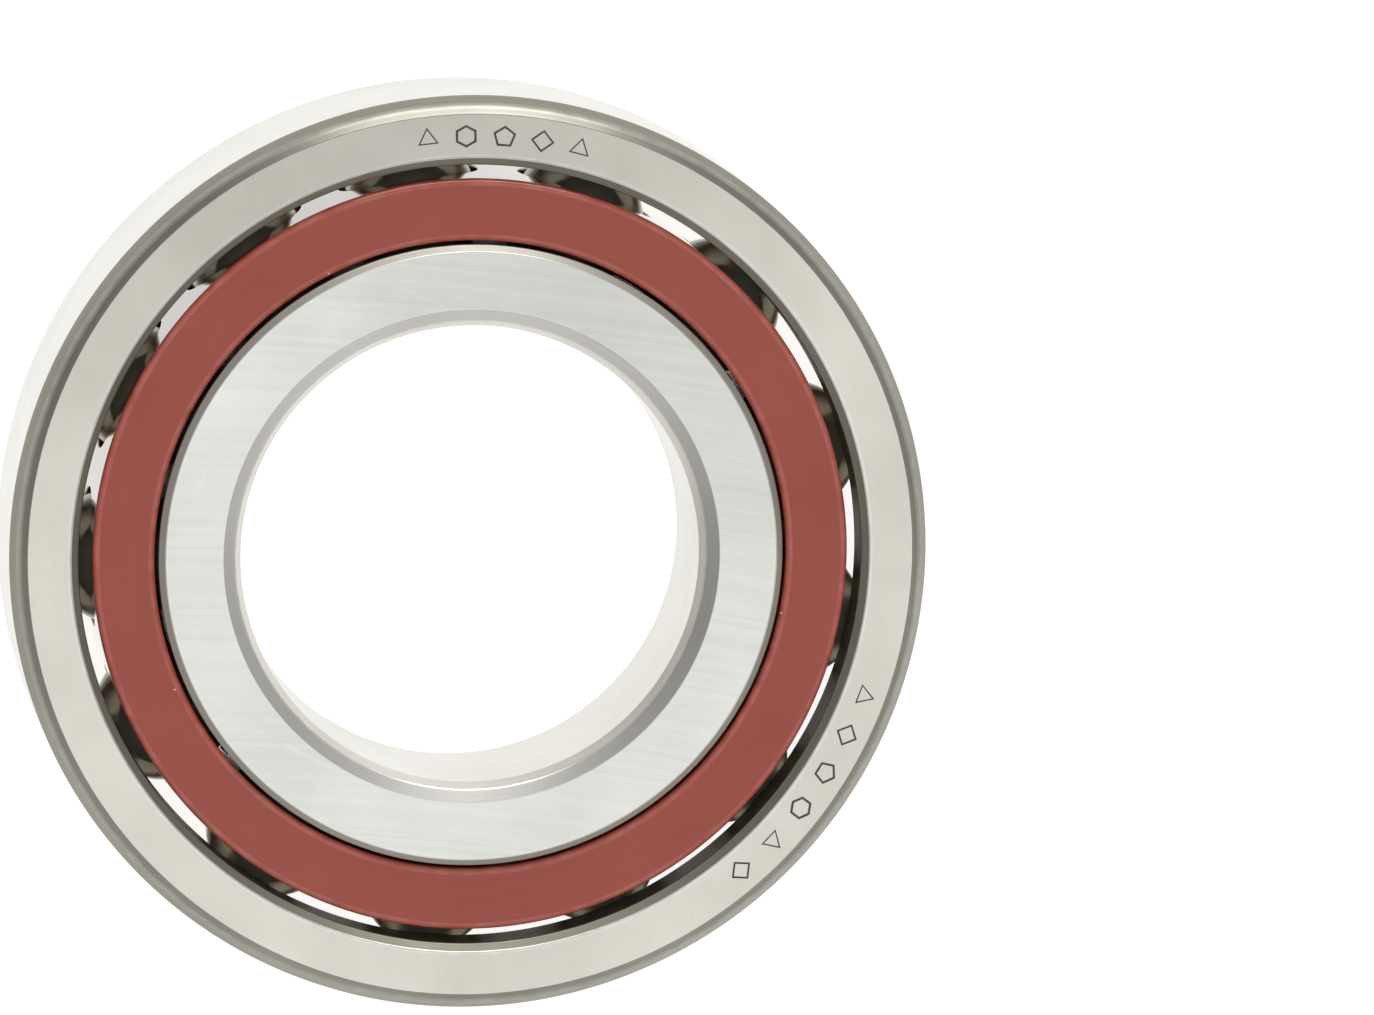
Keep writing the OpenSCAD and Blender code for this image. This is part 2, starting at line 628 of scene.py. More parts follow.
@dataclass(frozen=True)
class ResinFinish:
    """The fabric-filled resin of the cage, as machined.

    Attributes:
        name: The material's name.
        light: The resin's colour.
        dark: Its colour in the darker patches and between the fabric's layers.
        pale: Colour of a rubbed edge, which also paints a highlight along the rounded edges.
        dust: Colour of the dust on it.
        roughness: Lowest and highest roughness.
        gloss: Roughness of the resin's own skin.
        ior: Refractive index of the resin and of its skin.
        layers_per_metre: How close the fabric's layers lie.
        layer_wander: How soon a layer fades into its neighbours.
        layer_tint: Share of the layers, against the patches, in the colour.
        patch_scale: How small the dark patches are.
        lightening: How much the edges take the pale colour, partly as rubbing and partly as a painted highlight.
        speck_size: Size of a speck of dust, as a share of the space between two specks.
        speck_share: Share of the places for a speck that have one.
        grain_scale: How small the resin's grain is.
        grain_share: Share of the grain, against the layers, in the height.
        grain_depth: Depth of the grain and the layers.
        grain_strength: How much of that depth shows.
    """

    name: str
    light: Colour
    dark: Colour
    pale: Colour
    dust: Colour
    roughness: tuple[float, float] = (0.1, 0.15)
    gloss: float = 0.05
    ior: float = 1.38
    layers_per_metre: float = 2600.0
    layer_wander: float = 90.0
    layer_tint: float = 0.5
    patch_scale: float = 110.0
    lightening: float = 0.5
    speck_size: float = 0.07
    speck_share: float = 0.05
    grain_scale: float = 5200.0
    grain_share: float = 0.6
    grain_depth: float = 2 * MICRON
    grain_strength: float = 0.04

    def material(self, effects: Effects) -> bpy.types.Material:
        """Builds the material.

        Args:
            effects: The shared groups.

        Returns:
            The finished material.
        """
        surface = Surface(self.name, self.roughness[0], 0.0)
        skin = {"Coat Weight": 1.0, "Coat Roughness": self.gloss, "Coat IOR": self.ior, "IOR": self.ior}
        for label, value in skin.items():
            surface.shader.inputs[label].default_value = value
        point = surface.point
        layers = surface.use(
            effects.spun_lines,
            Vector=point,
            Lines_per_metre=self.layers_per_metre,
            Wander=self.layer_wander,
        )
        clouds = surface.use(effects.clouds, Vector=point, Scale=self.patch_scale)
        grain = surface.use(effects.clouds, Vector=point, Scale=self.grain_scale)
        lightening = surface.use(effects.edge_wear, Vector=point, Edge=surface.edge, Amount=self.lightening)
        specks = surface.use(effects.specks, Vector=point, Size=self.speck_size, Share=self.speck_share)
        uneven = surface.sum_of((clouds, 1 - self.layer_tint), (layers, self.layer_tint))
        colour = surface.blend(uneven, self.light, self.dark)
        # The edges take the pale colour: partly rubbing, partly a painted highlight along the rounded edges.
        colour = surface.blend(lightening, colour, self.pale)
        surface.colour(surface.blend(specks, colour, self.dust))
        surface.roughness(surface.remap(grain, 0.0, 1.0, *self.roughness))
        height = surface.sum_of((grain, self.grain_share), (layers, 1 - self.grain_share))
        surface.bump(height, self.grain_depth, self.grain_strength)
        return surface.material


@dataclass(frozen=True)
class MarkFinish:
    """The dark oxide of an etched mark.

    Attributes:
        name: The material's name.
        dark: Its colour.
        pale: Its colour where the etch is thin.
        roughness: Its roughness.
        patch_scale: How small the thin patches are.
        depth: Depth of the patches.
        strength: How much of that depth shows.
    """

    name: str
    dark: Colour
    pale: Colour
    roughness: float = 0.6
    patch_scale: float = 2500.0
    depth: float = 4 * MICRON
    strength: float = 0.3

    def material(self, effects: Effects) -> bpy.types.Material:
        """Builds the material.

        Args:
            effects: The shared groups.

        Returns:
            The finished material.
        """
        surface = Surface(self.name, self.roughness, 0.0)
        thin = surface.use(effects.clouds, Vector=surface.point, Scale=self.patch_scale)
        surface.colour(surface.blend(thin, self.dark, self.pale))
        surface.bump(thin, self.depth, self.strength)
        return surface.material


class Finishes:
    """All the finishes of the bearing, built once."""

    def __init__(self) -> None:
        """Builds the shared groups and each material."""
        effects = Effects()
        bright = (0.86, 0.85, 0.82, 1.0)
        self.outer_face = SteelFinish(
            name="Ground outer face",
            light=(0.735, 0.71, 0.635, 1.0),
            dark=(0.63, 0.605, 0.535, 1.0),
            worn=bright,
            roughness=(0.24, 0.34),
            lines_per_metre=9000.0,
            line_centre=(0.35, 0.05, 0.0),
            line_tint=0.25,
            scratch_rarity=0.76,
            # Painted shade darkens the side towards 105 degrees from +X.
            painted_shade_side=105.0,
            painted_shade_by=0.24,
        ).material(effects)
        self.inner_face = SteelFinish(
            name="Ground inner face",
            light=(0.81, 0.81, 0.775, 1.0),
            dark=(0.69, 0.69, 0.65, 1.0),
            worn=bright,
            roughness=(0.24, 0.34),
            lines_per_metre=2600.0,
            line_centre=(-0.03, -0.3, 0.0),
            line_strength=0.3,
            line_tint=0.4,
            line_wander=14.0,
            scratch_rarity=0.69,
            # Painted shade darkens the side towards 65 degrees from +X.
            painted_shade_side=65.0,
            painted_shade_by=0.16,
        ).material(effects)
        self.wall = SteelFinish(
            name="Ground wall",
            light=(0.72, 0.715, 0.68, 1.0),
            dark=(0.62, 0.615, 0.58, 1.0),
            worn=bright,
            roughness=(0.2, 0.28),
            lines_per_metre=9000.0,
        ).material(effects)
        self.hard_turned = SteelFinish(
            name="Turned outside corner",
            light=(0.275, 0.265, 0.225, 1.0),
            dark=(0.20, 0.19, 0.16, 1.0),
            worn=(0.36, 0.35, 0.31, 1.0),
            roughness=(0.29, 0.37),
            lines_per_metre=7000.0,
            line_strength=0.35,
        ).material(effects)
        self.inner_shoulder = SteelFinish(
            name="Turned inner shoulder",
            light=(0.43, 0.41, 0.355, 1.0),
            dark=(0.335, 0.32, 0.27, 1.0),
            worn=(0.48, 0.47, 0.43, 1.0),
            roughness=(0.42, 0.5),
            lines_per_metre=7000.0,
        ).material(effects)
        self.outer_shoulder = SteelFinish(
            name="Turned outer shoulder",
            light=(0.25, 0.235, 0.19, 1.0),
            dark=(0.18, 0.17, 0.135, 1.0),
            worn=(0.34, 0.32, 0.27, 1.0),
            roughness=(0.4, 0.48),
            lines_per_metre=7000.0,
        ).material(effects)
        self.turned = SteelFinish(
            name="Turned bore corner",
            light=(0.77, 0.755, 0.71, 1.0),
            dark=(0.62, 0.605, 0.56, 1.0),
            worn=bright,
            roughness=(0.28, 0.38),
            lines_per_metre=7000.0,
            line_strength=0.35,
            # Painted shade darkens the side towards -15 degrees from +X.
            painted_shade_side=-15.0,
            painted_shade_by=0.37,
        ).material(effects)
        self.honed = SteelFinish(
            name="Honed raceway",
            light=(0.60, 0.57, 0.49, 1.0),
            dark=(0.50, 0.47, 0.39, 1.0),
            worn=(0.6, 0.58, 0.52, 1.0),
            roughness=(0.17, 0.24),
            lines_per_metre=16000.0,
            line_strength=0.08,
        ).material(effects)
        self.ball = SteelFinish(
            name="Lapped ball",
            light=(0.43, 0.41, 0.335, 1.0),
            dark=(0.36, 0.345, 0.28, 1.0),
            worn=bright,
            roughness=(0.19, 0.26),
            lines_per_metre=14000.0,
            line_strength=0.02,
            patch_scale=260.0,
            metallic=0.65,
        ).material(effects)
        self.resin = ResinFinish(
            name="Cage resin",
            light=(0.36, 0.053, 0.026, 1.0),
            dark=(0.29, 0.036, 0.017, 1.0),
            # The pale edge colour also paints a highlight along the cage's rounded edges.
            pale=(0.56, 0.17, 0.14, 1.0),
            dust=(0.62, 0.5, 0.45, 1.0),
        ).material(effects)
        self.mark = MarkFinish(
            name="Etched mark", dark=(0.035, 0.034, 0.033, 1.0), pale=(0.10, 0.095, 0.09, 1.0)
        ).material(effects)


# ------------------------------------------------------------------------------------------- ring sections


class Zone(Enum):
    """How a stretch of a ring's surface was machined."""

    FACE = "face"
    WALL = "wall"
    TURNED = "turned"
    SHOULDER = "shoulder"
    HONED = "honed"


PAINTED_OVER = (Zone.WALL, Zone.TURNED, Zone.SHOULDER, Zone.HONED)


class Corner(NamedTuple):
    """A corner of a ring's section.

    Attributes:
        r: Distance from the axis.
        z: Height.
        zone: How the stretch from this corner to the next one was machined.
        blend: Radius that rounds the corner off, or 0 for a point along a curve.
    """

    r: float
    z: float
    zone: Zone
    blend: float = 0.0


class SectionPoint(NamedTuple):
    """A point of a finished section.

    Attributes:
        r: Distance from the axis.
        z: Height.
        edge: How much it is part of an edge, from 0 to 1.
        zone: How the surface there was machined.
    """

    r: float
    z: float
    edge: float
    zone: Zone


@dataclass(frozen=True)
class Section:
    """Closed section of a ring, counter-clockwise with the radius to the right and the height up.

    Attributes:
        corners: Its corners in order.
        blend_steps: Pieces in each rounded corner.
        support: Distance of the points that keep the flats flat next to a rounded corner.
        longest_run: Longest straight piece.
        most_taken: Largest share of a stretch that the rounding at one end may take.
    """

    corners: tuple[Corner, ...]
    blend_steps: int = 4
    support: float = 0.06 * MM
    longest_run: float = 1.0 * MM
    most_taken: float = 0.45

    # A stretch shorter than this many supports isn't divided.
    SHORTEST = 4

    def points(self) -> list[SectionPoint]:
        """Rounds the corners off and divides the straight stretches.

        Returns:
            The points of the section in order.
        """
        count = len(self.corners)
        arcs = [self._arc(i) for i in range(count)]
        points: list[SectionPoint] = []
        for i, corner in enumerate(self.corners):
            edge = 1.0 if corner.blend else 0.0
            points += [SectionPoint(p.x, p.y, edge, self._arc_zone(i)) for p in arcs[i]]
            following = arcs[(i + 1) % count]
            supports = (bool(corner.blend), bool(self.corners[(i + 1) % count].blend))
            stretch = self._stretch(arcs[i][-1], following[0], supports)
            points += [SectionPoint(p.x, p.y, 0.0, corner.zone) for p in stretch]
        return points

    def _arc_zone(self, i: int) -> Zone:
        """Finds how a rounding was machined: like its turned side, or else its face, or else its shoulder.

        Args:
            i: The corner's place.

        Returns:
            The rounding's zone.
        """
        zones = (self.corners[i].zone, self.corners[i - 1].zone)
        for leading in (Zone.TURNED, Zone.FACE, Zone.SHOULDER):
            if leading in zones:
                return leading
        return zones[0]

    def _arc(self, i: int) -> list[Vector]:
        """Rounds one corner off.

        Args:
            i: The corner's place.

        Returns:
            The points of its rounding, or the corner itself if it stays.
        """
        corner = self.corners[i]
        here = Vector((corner.r, corner.z))
        if not corner.blend:
            return [here]
        before = Vector(self.corners[i - 1][:2]) - here
        after = Vector(self.corners[(i + 1) % len(self.corners)][:2]) - here
        half = before.angle(after) / 2
        most = self.most_taken
        reach = min(corner.blend / math.tan(half), most * before.length, most * after.length)
        start = here + before.normalized() * reach
        end = here + after.normalized() * reach
        middle = here + (before.normalized() + after.normalized()).normalized() * (reach / math.cos(half))
        spoke = start - middle
        sweep = spoke.angle_signed(end - middle)
        points = []
        for k in range(self.blend_steps + 1):
            turn = -sweep * k / self.blend_steps
            cos, sin = math.cos(turn), math.sin(turn)
            points.append(middle + Vector((spoke.x * cos - spoke.y * sin, spoke.x * sin + spoke.y * cos)))
        return points

    def _stretch(self, start: Vector, end: Vector, supports: tuple[bool, bool]) -> list[Vector]:
        """Divides a straight stretch.

        Args:
            start: Its first point, which isn't repeated.
            end: Its last point, which isn't repeated.
            supports: Whether a supporting point is wanted near each end.

        Returns:
            The points in between.
        """
        length = (end - start).length
        if length < self.SHORTEST * self.support:
            return []
        low = self.support / length if supports[0] else 0.0
        high = 1 - self.support / length if supports[1] else 1.0
        pieces = max(1, math.ceil((high - low) * length / self.longest_run))
        shares = [low + (high - low) * k / pieces for k in range(pieces + 1)]
        return [start.lerp(end, share) for share in shares if 0.0 < share < 1.0]

    def mesh(self, name: str) -> bpy.types.Mesh:
        """Draws the section as a closed loop of edges that carries its machining.

        Args:
            name: The mesh's name.

        Returns:
            The loop, with x as the radius and y as the height.
        """
        points = self.points()
        count = len(points)
        mesh = bpy.data.meshes.new(name)
        mesh.from_pydata(
            [(p.r, p.z, 0.0) for p in points], [(i, (i + 1) % count) for i in range(count)], []
        )
        layers = {"edge": [p.edge for p in points]}
        for zone in PAINTED_OVER:
            layers[zone.value] = [float(p.zone is zone) for p in points]
        for label, values in layers.items():
            mesh.attributes.new(label, "FLOAT", "POINT").data.foreach_set("value", values)
        return mesh


def around(r: float, angle: float, z: float) -> Vector:
    """The point at this distance from the axis, in this direction and at this height."""
    return Vector((r * math.cos(angle), r * math.sin(angle), z))


def groove_arc(
    centre: tuple[float, float], radius: float, start: float, end: float, steps: int
) -> list[Corner]:
    """Draws a raceway's arc.

    Args:
        centre: Radius and height of the arc's centre.
        radius: The arc's own radius.
        start: Direction of its first point in radians, from the outward direction towards +Z.
        end: Direction of its last point.
        steps: Number of pieces.

    Returns:
        The arc's points as corners, without its two ends.
    """
    turns = [start + (end - start) * k / steps for k in range(1, steps)]
    return [
        Corner(centre[0] + radius * math.cos(t), centre[1] + radius * math.sin(t), Zone.HONED) for t in turns
    ]


class Lathe:
    """Spins a section about the axis and gives each zone its finish."""

    # Radius of the circle that a section is swept along, after it is moved back by as much.
    ARBOR = 10 * MM
    # A face is in a zone when more than this share of its corners is.
    ZONE_SHARE = 0.6

    def __init__(self, finishes: Finishes) -> None:
        """Builds the geometry tree.

        Args:
            finishes: The bearing's finishes.
        """
        self.finishes = finishes
        self.tree = self._tree()

    def _tree(self) -> Tree:
        """Builds the tree that sweeps a section round a circle.

        Returns:
            The tree, with the number of segments and a finish for each zone as inputs.
        """
        tree = Tree.group(
            "Spun ring",
            "GeometryNodeTree",
            {
                "Section": ("NodeSocketGeometry",),
                "Segments": ("NodeSocketInt", 360),
                "Arbor": ("NodeSocketFloat", self.ARBOR),
                **{f"{zone.value.title()} finish": ("NodeSocketMaterial",) for zone in Zone},
            },
            {"Ring": "NodeSocketGeometry"},
        )
        ins = tree.source.outputs
        back = tree.first("ShaderNodeCombineXYZ", {0: tree.math("MULTIPLY", ins["Arbor"], -1.0)})
        moved = tree.first("GeometryNodeTransform", {"Geometry": ins["Section"], "Translation": back})
        flipped = tree.first("GeometryNodeTransform", {"Geometry": moved, "Scale": (1.0, -1.0, 1.0)})
        outline = tree.first("GeometryNodeMeshToCurve", {"Mesh": flipped})
        round_arbor = {"Resolution": ins["Segments"], "Radius": ins["Arbor"]}
        circle = tree.first("GeometryNodeCurvePrimitiveCircle", round_arbor)
        upright = tree.first("GeometryNodeSetCurveNormal", {"Curve": circle}, mode="Z_UP")
        swept = tree.first("GeometryNodeCurveToMesh", {"Curve": upright, "Profile Curve": outline})
        outwards = tree.first("GeometryNodeFlipFaces", {"Mesh": swept})
        shape = tree.first("GeometryNodeSetShadeSmooth", {"Geometry": outwards})
        shape = tree.first("GeometryNodeRealizeInstances", {"Geometry": shape})
        shape = self._dressed(tree, shape, Zone.FACE, None)
        for zone in PAINTED_OVER:
            mask = tree.add("GeometryNodeInputNamedAttribute", {"Name": zone.value}).outputs["Attribute"]
            chosen = tree.math("GREATER_THAN", mask, self.ZONE_SHARE)
            shape = self._dressed(tree, shape, zone, chosen)
        tree.put_out(shape)
        return tree

    @staticmethod
    def _dressed(tree: Tree, shape: Socket, zone: Zone, chosen: Socket | None) -> Socket:
        """Adds a Set Material node.

        Args:
            tree: The tree to add to.
            shape: The geometry to dress.
            zone: The zone whose finish is used.
            chosen: Which faces take it, or None for all of them.

        Returns:
            The dressed geometry.
        """
        inputs = {"Geometry": shape, "Material": tree.source.outputs[f"{zone.value.title()} finish"]}
        if chosen is not None:
            inputs["Selection"] = chosen
        return tree.first("GeometryNodeSetMaterial", inputs)

    def spin(
        self,
        name: str,
        section: Section,
        face: bpy.types.Material,
        turned: bpy.types.Material,
        shoulder: bpy.types.Material,
        segments: int = 360,
    ) -> bpy.types.Object:
        """Makes a ring from its section.

        Args:
            name: The ring's name.
            section: Its section.
            face: Finish of its faces.
            turned: Finish of its turned corners.
            shoulder: Finish of its shoulders' edge breaks.
            segments: How many pieces its circles have.

        Returns:
            The finished ring.
        """
        finishes = self.finishes
        return grown(
            name,
            section.mesh(f"{name}_section"),
            self.tree,
            Segments=segments,
            Arbor=self.ARBOR,
            Face_finish=face,
            Wall_finish=finishes.wall,
            Turned_finish=turned,
            Shoulder_finish=shoulder,
            Honed_finish=finishes.honed,
        )


# ------------------------------------------------------------------------------------------ sub-assemblies


@dataclass(frozen=True)
class BearingSizes:
    """Sizes that the pieces share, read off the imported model.

    Attributes:
        bore_r: Radius of the bore.
        bore_seat: Half the length of the bore's ground wall.
        outer_r: Outside radius.
        outer_seat: Half the length of the ground outside.
        half_w: Half the rings' width.
        inner_land_r: Radius of the inner ring's shoulders.
        cage_r: Outside radius of the cage.
        cage_half_w: Half the cage's width.
        ball_r: Radius of a ball.
        pitch_r: Radius of the circle that the balls' centres lie on.
        first_ball: Direction of the first ball, in radians from +X.
        balls: Names of the balls' nodes.
        contact: Contact angle in radians.
        conformity: Groove radius as a share of the ball's diameter.
        contact_gap: Gap between a ball and each groove.
    """

    bore_r: float
    bore_seat: float
    outer_r: float
    outer_seat: float
    half_w: float
    inner_land_r: float
    cage_r: float
    cage_half_w: float
    ball_r: float
    pitch_r: float
    first_ball: float
    balls: tuple[str, ...]
    contact: float
    conformity: float = 0.52
    contact_gap: float = 0.015 * MM

    @classmethod
    def of_frame(cls) -> "BearingSizes":
        """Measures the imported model.

        Returns:
            The sizes.
        """
        mounts = {mount["name"]: mount["dims"] for mount in frame["record"]["mounts"]}
        balls = tuple(sorted(name for name in frame["nodes"] if name.startswith("ball_")))
        low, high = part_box(balls[0])
        centre = (low + high) / 2
        tilts = [joint["axis"][2] for joint in frame["joints"] if joint["child"] == balls[0]]
        cage_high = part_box("cage")[1]
        return cls(
            bore_r=mounts["bore"]["r_mm"] * MM,
            bore_seat=mounts["bore"]["length_mm"] * MM / 2,
            outer_r=mounts["outside"]["r_mm"] * MM,
            outer_seat=mounts["outside"]["length_mm"] * MM / 2,
            half_w=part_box("outer_ring")[1].z,
            inner_land_r=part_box("inner_ring")[1].x,
            cage_r=cage_high.x,
            cage_half_w=cage_high.z,
            ball_r=(high - low).z / 2,
            pitch_r=centre.xy.length,
            first_ball=math.atan2(centre.y, centre.x),
            balls=balls,
            contact=math.acos(tilts[0]),
        )

    @property
    def groove_r(self) -> float:
        """Radius of both grooves."""
        return 2 * self.ball_r * self.conformity

    def groove_centre(self, side: int) -> tuple[float, float]:
        """Centre of a groove's arc.

        Args:
            side: 1 for the inner ring's groove, -1 for the outer ring's.

        Returns:
            Its radius and height.
        """
        shift = side * (self.groove_r - self.ball_r - self.contact_gap)
        return self.pitch_r + shift * math.cos(self.contact), shift * math.sin(self.contact)


@dataclass(frozen=True)
class EtchedRow:
    """A row of small outlined shapes, etched round a ring's face.

    Attributes:
        name: The row's name.
        start: Direction of its first shape, counted from +X.
        step: Turn from one shape to the next.
        count: How many shapes it has.
        stride: Places from one shape's kind to the next one's, in the list of kinds.
        r: Radius of the row's middle.
        height: Height of a shape, along the ring's radius.
        width: Width of a shape.
        stroke: Width of a stroke.
        relief: Thickness of a stroke, half of it under the face.
    """

    name: str
    start: float
    step: float
    count: int
    stride: int
    r: float = 36.65 * MM
    height: float = 1.75 * MM
    width: float = 1.85 * MM
    stroke: float = 0.24 * MM
    relief: float = 0.02 * MM

    # How many sides each kind of shape has, and its radius before it is stretched to the row's sizes.
    KINDS = (6, 5, 4, 3)
    UNIT_R = 0.5

    @classmethod
    def tree(cls) -> Tree:
        """Builds the tree that draws a row.

        Returns:
            The tree, with the row's sizes as inputs.
        """
        number = "NodeSocketFloat"
        tree = Tree.group(
            "Etched row",
            "GeometryNodeTree",
            {
                "Base": ("NodeSocketGeometry",),
                "Radius": (number, 0.036),
                "Level": (number, 0.009),
                "Start": (number, 0.0),
                "Step": (number, 0.1),
                "Count": ("NodeSocketInt", 5),
                "Stride": ("NodeSocketInt", 1),
                "Height": (number, 0.002),
                "Width": (number, 0.001),
                "Stroke": (number, 0.0002),
                "Relief": (number, 0.00002),
                "Finish": ("NodeSocketMaterial",),
            },
            {"Row": "NodeSocketGeometry"},
        )
        ins = tree.source.outputs
        shapes = tree.add("GeometryNodeJoinGeometry")
        for sides in cls.KINDS:
            size = {"Resolution": sides, "Radius": cls.UNIT_R}
            outline = tree.first("GeometryNodeCurvePrimitiveCircle", size)
            tree.feed(shapes.inputs[0], tree.first("GeometryNodeGeometryToInstance", {0: outline}))
        index = tree.first("GeometryNodeInputIndex")
        angle = tree.math("ADD", ins["Start"], tree.math("MULTIPLY", index, ins["Step"]))
        x = tree.math("MULTIPLY", ins["Radius"], tree.math("COSINE", angle))
        y = tree.math("MULTIPLY", ins["Radius"], tree.math("SINE", angle))
        spot = tree.first("ShaderNodeCombineXYZ", {0: x, 1: y, 2: ins["Level"]})
        spots = tree.first("GeometryNodePoints", {"Count": ins["Count"], "Position": spot})
        outwards = tree.first("ShaderNodeCombineXYZ", {2: angle})
        pick = tree.math("MODULO", tree.math("MULTIPLY", index, ins["Stride"]), float(len(cls.KINDS)))
        scale = tree.first("ShaderNodeCombineXYZ", {0: ins["Height"], 1: ins["Width"], 2: 1.0})
        placed = tree.first(
            "GeometryNodeInstanceOnPoints",
            {
                "Points": spots,
                "Instance": shapes.outputs[0],
                "Pick Instance": True,
                "Instance Index": pick,
                "Rotation": tree.first("FunctionNodeEulerToRotation", {0: outwards}),
                "Scale": scale,
            },
        )
        curves = tree.first("GeometryNodeRealizeInstances", {"Geometry": placed})
        flat = tree.first("GeometryNodeSetCurveNormal", {"Curve": curves}, mode="Z_UP")
        nib_sizes = {"Width": ins["Stroke"], "Height": ins["Relief"]}
        nib = tree.first("GeometryNodeCurvePrimitiveQuadrilateral", nib_sizes)
        drawn = {"Curve": flat, "Profile Curve": nib, "Fill Caps": True}
        strokes = tree.first("GeometryNodeCurveToMesh", drawn)
        tree.put_out(tree.first("GeometryNodeSetMaterial", {"Geometry": strokes, "Material": ins["Finish"]}))
        return tree

    def build(self, tree: Tree, level: float, finish: bpy.types.Material) -> bpy.types.Object:
        """Draws the row.

        Args:
            tree: The tree that draws rows.
            level: Height of the face that it is etched in.
            finish: Its material.

        Returns:
            The row's strokes.
        """
        return grown(
            self.name,
            bpy.data.meshes.new(self.name),
            tree,
            Radius=self.r,
            Level=level,
            Start=math.radians(self.start),
            Step=math.radians(self.step),
            Count=self.count,
            Stride=self.stride,
            Height=self.height,
            Width=self.width,
            Stroke=self.stroke,
            Relief=self.relief,
            Finish=finish,
        )


@dataclass(frozen=True)
class OuterRing:
    """Outer ring: a high shoulder, a groove, a lip that the balls snap over, and a counterbore.

    Attributes:
        sizes: Sizes shared with the other pieces.
        shoulder: Height of the high shoulder above the groove's bottom.
        lip: Height of the lip above the groove's bottom.
        lip_land: Width of the lip.
        counterbore: Angle of the counterbore to the axis.
        corner: How far the outside corner reaches along the face.
        knee: How far the corner's knee lies from the face's edge, and how deep.
        shoulder_edge: Size of the shoulder's edge break along the face, and along the shoulder.
        knee_blend: Radius of the blends along the turned corner.
        edge_blend: Radius of the other edges.
        groove_steps: Pieces in the groove's arc.
        rows: The rows of marks on its upper face.
    """

    sizes: BearingSizes
    shoulder: float = 1.89 * MM
    lip: float = 0.14 * MM
    lip_land: float = 0.3 * MM
    counterbore: float = 12.5
    corner: float = 1.45 * MM
    knee: tuple[float, float] = (0.75 * MM, 0.6 * MM)
    shoulder_edge: tuple[float, float] = (0.78 * MM, 0.6 * MM)
    knee_blend: float = 1.6 * MM
    edge_blend: float = 0.12 * MM
    groove_steps: int = 40
    rows: tuple[EtchedRow, ...] = (
        EtchedRow("etched_row_short", start=97.0, step=-5.2, count=5, stride=3),
        EtchedRow("etched_row_long", start=-19.5, step=-5.9, count=6, stride=5),
    )

    # Roundings of the edge break's two ends and of the lip, as multiples of the other edges' blend.
    ROUNDEST = 3
    ROUND = 2
    SHARP = 0.5

    def section(self) -> Section:
        """Draws the ring's section.

        Returns:
            The section, from the counterbore's mouth outwards and round.
        """
        s = self.sizes
        centre, groove_r = s.groove_centre(-1), s.groove_r
        bottom = centre[0] + groove_r
        land_r, lip_r = bottom - self.shoulder, bottom - self.lip
        top = math.acos((land_r - centre[0]) / groove_r)
        low = -math.acos((lip_r - centre[0]) / groove_r)
        lip_z = centre[1] + groove_r * math.sin(low)
        mouth_z = lip_z - self.lip_land
        mouth_r = lip_r + (s.half_w + mouth_z) * math.tan(math.radians(self.counterbore))
        face_r = s.outer_r - self.corner
        knee_r, knee_z = face_r + self.knee[0], s.half_w - self.knee[1]
        edge, knee = self.edge_blend, self.knee_blend
        return Section(
            (
                Corner(mouth_r, -s.half_w, Zone.FACE, edge),
                Corner(face_r, -s.half_w, Zone.TURNED, edge),
                Corner(knee_r, -knee_z, Zone.TURNED, knee),
                Corner(s.outer_r, -s.outer_seat, Zone.WALL, edge),
                Corner(s.outer_r, s.outer_seat, Zone.TURNED, edge),
                Corner(knee_r, knee_z, Zone.TURNED, knee),
                Corner(face_r, s.half_w, Zone.FACE, edge),
                Corner(land_r + self.shoulder_edge[0], s.half_w, Zone.SHOULDER, self.ROUNDEST * edge),
                Corner(land_r, s.half_w - self.shoulder_edge[1], Zone.SHOULDER, self.ROUND * edge),
                Corner(land_r, centre[1] + groove_r * math.sin(top), Zone.HONED, edge),
                *groove_arc(centre, groove_r, top, low, self.groove_steps),
                Corner(lip_r, lip_z, Zone.WALL, self.SHARP * edge),
                Corner(lip_r, mouth_z, Zone.TURNED, edge),
            )
        )

    def build(self, lathe: Lathe) -> None:
        """Makes the ring and its marks.

        Args:
            lathe: What spins the section.
        """
        finishes = lathe.finishes
        dressed = (finishes.outer_face, finishes.hard_turned, finishes.outer_shoulder)
        ring = lathe.spin("finished_outer_ring", self.section(), *dressed)
        place(ring, "outer_ring", "ring_steel", "outer_ring")
        tree = EtchedRow.tree()
        for row in self.rows:
            place(row.build(tree, self.sizes.half_w, finishes.mark), "outer_ring", "ring_steel")


